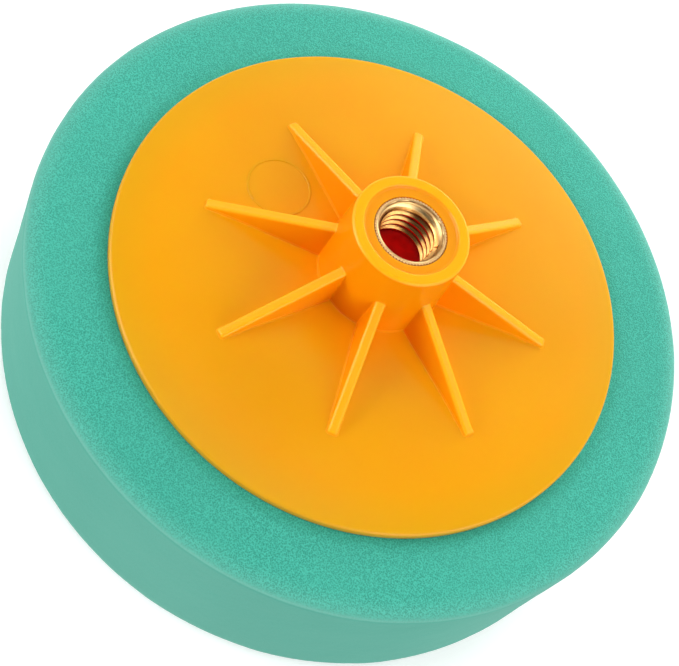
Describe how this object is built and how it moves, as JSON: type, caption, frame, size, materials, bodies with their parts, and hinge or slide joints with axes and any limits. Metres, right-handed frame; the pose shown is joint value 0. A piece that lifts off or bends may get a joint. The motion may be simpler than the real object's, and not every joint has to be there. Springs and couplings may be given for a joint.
{
  "type": "polishing pad",
  "caption": "Round foam polishing pad on a ribbed plastic backing plate, with a hub and a threaded brass insert that screws onto a rotary polisher's spindle.",
  "frame": {"origin": "centre of the working face, the lowest point of the spin axis, with the pad lying on that face", "axes": "+Z along the spin axis, from the working face towards the polisher; one of the eight ribs points along +X"},
  "size_m": [0.1504, 0.1504, 0.0623],
  "materials": {
    "foam": "matte",
    "adhesive": "satin",
    "plate_plastic": "satin",
    "insert_brass": "satin",
    "seal_plastic": "satin"
  },
  "bodies": {
    "root": {"foam_pad": "foam", "adhesive_layer": "adhesive", "backing_plate": "plate_plastic", "threaded_insert": "insert_brass", "bore_seal_disc": "seal_plastic"}
  },
  "joints": []
}
